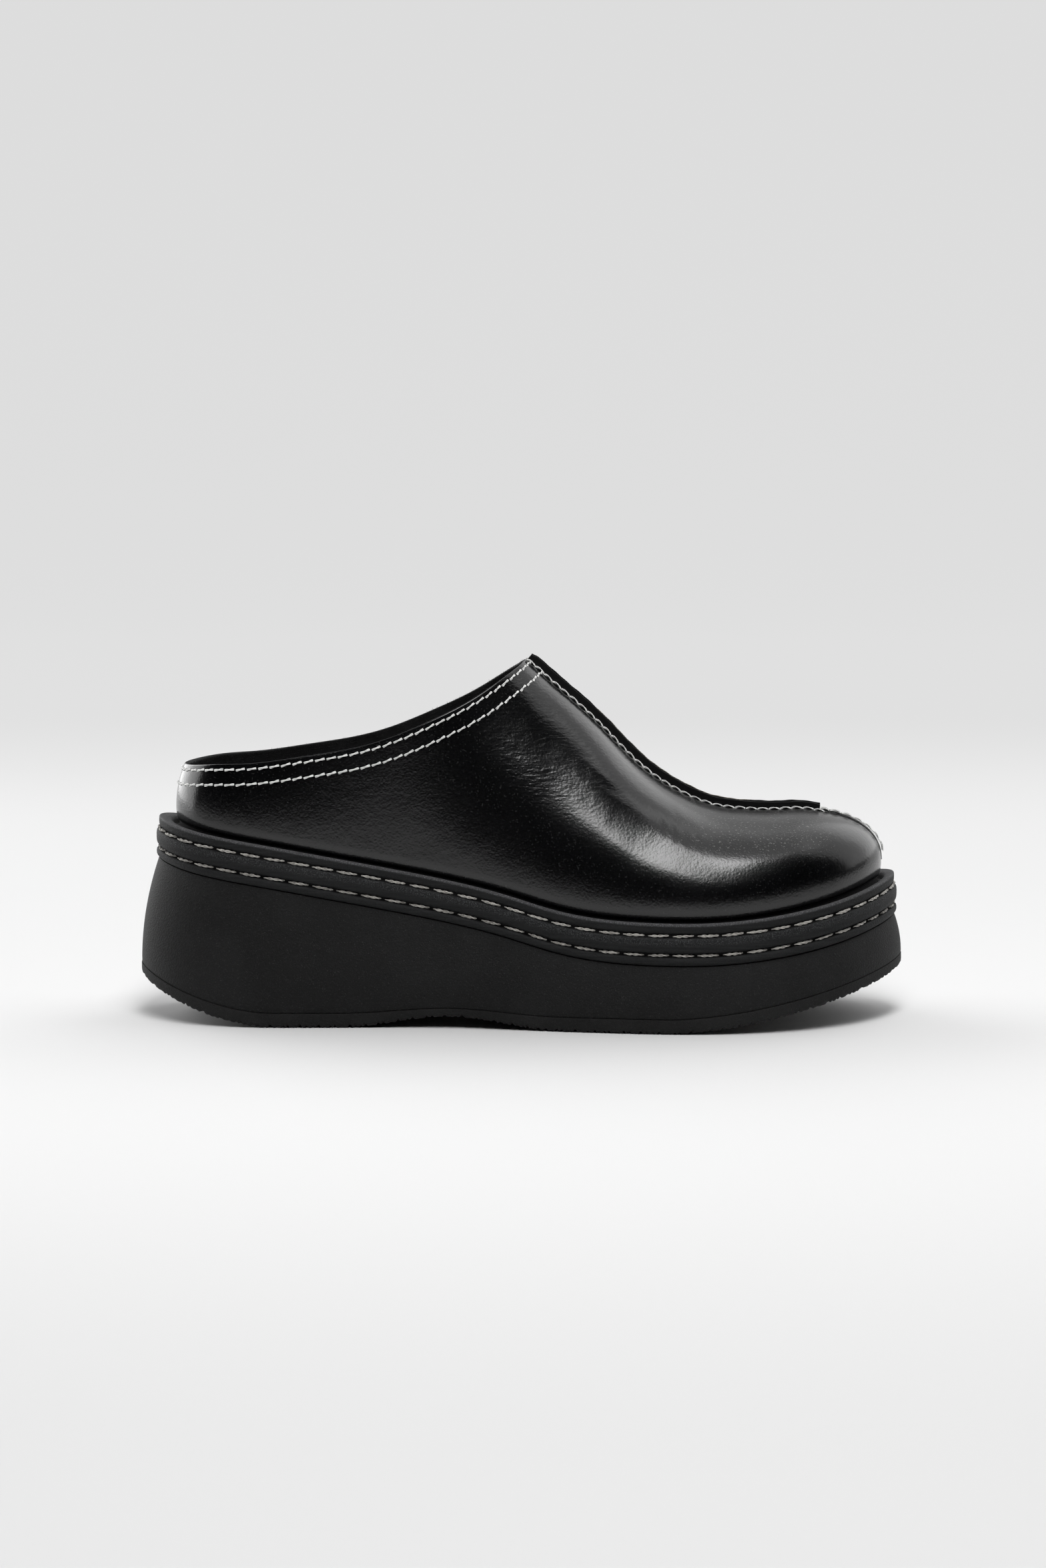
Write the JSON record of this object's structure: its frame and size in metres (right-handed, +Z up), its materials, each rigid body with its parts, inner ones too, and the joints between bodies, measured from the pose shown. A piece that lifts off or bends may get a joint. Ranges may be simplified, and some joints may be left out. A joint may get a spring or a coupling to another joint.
{
  "type": "platform mule",
  "caption": "Closed-toe slip-on platform mule with a raised centre seam, a stitched beaded welt and a foam wedge sole, right foot.",
  "frame": {"origin": "on the floor, under the middle of the shoe's bounding box", "axes": "+X from heel to toe, +Y to the inner side of the right foot, +Z up"},
  "size_m": [0.272, 0.103, 0.1286],
  "materials": {
    "tread_rubber": "matt, fine ragged tread",
    "moulded_foam": "matt charcoal, fine pebble grain",
    "polished_leather": "polished, fine grain",
    "suede": "matt nap"
  },
  "bodies": {
    "root": {"outsole": "tread_rubber", "midsole": "moulded_foam", "welt": "moulded_foam", "upper": "polished_leather", "insole": "suede"}
  },
  "joints": []
}
